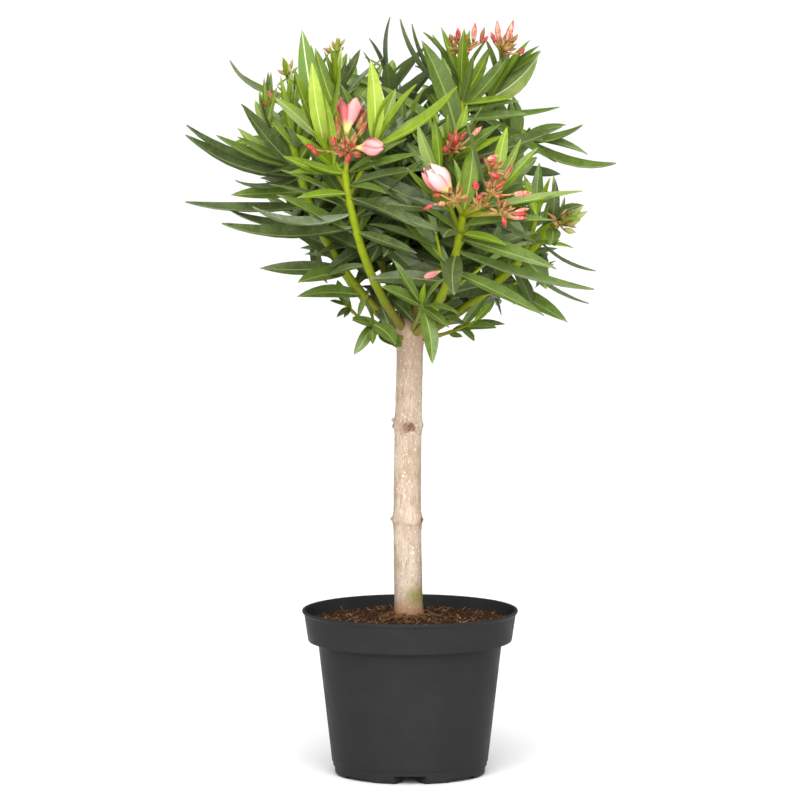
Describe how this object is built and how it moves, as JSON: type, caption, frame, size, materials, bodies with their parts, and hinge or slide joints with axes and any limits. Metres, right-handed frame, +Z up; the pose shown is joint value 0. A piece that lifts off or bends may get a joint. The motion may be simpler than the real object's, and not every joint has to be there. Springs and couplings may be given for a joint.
{
  "type": "potted oleander",
  "caption": "Oleander trained as a small standard tree with a bare stem and a round budding crown, in a round plastic nursery pot.",
  "frame": {"origin": "centre of the flat pad under the pot, on the ground plane", "axes": "+Z up along the pot's axis, -Y towards the front of the plant, +X to its right seen from the front"},
  "size_m": [0.4057, 0.4002, 0.7395],
  "materials": {
    "pot_plastic": "satin black polypropylene",
    "potting_soil": "crumbly dark peat and bark",
    "bark": "pale dry bark",
    "green_stem": "smooth young bark",
    "foliage": "leathery leaves"
  },
  "bodies": {
    "root": {"pot": "pot_plastic", "soil": "potting_soil", "trunk": "bark", "bough_front_left": "green_stem", "bough_left": "green_stem", "bough_back_left": "green_stem", "bough_back_center": "green_stem", "bough_top_right": "green_stem", "bough_front_right": "green_stem", "bough_mid_right": "green_stem", "bough_right": "green_stem", "bough_back_right": "green_stem", "bough_center": "green_stem", "bough_back": "green_stem", "bough_back_low_left": "green_stem", "bough_back_low_right": "green_stem", "leaves_front_left": "foliage", "leaves_left": "foliage", "leaves_back_left": "foliage", "leaves_back_center": "foliage", "leaves_top_right": "foliage", "leaves_front_right": "foliage", "leaves_mid_right": "foliage", "leaves_right": "foliage", "leaves_back_right": "foliage", "leaves_center": "foliage", "leaves_back": "foliage", "leaves_back_low_left": "foliage", "leaves_back_low_right": "foliage", "leaves_low_center": "foliage", "leaves_low_left": "foliage", "leaves_low_side": "foliage", "leaves_low_right": "foliage", "leaves_low_back": "foliage"}
  },
  "joints": []
}
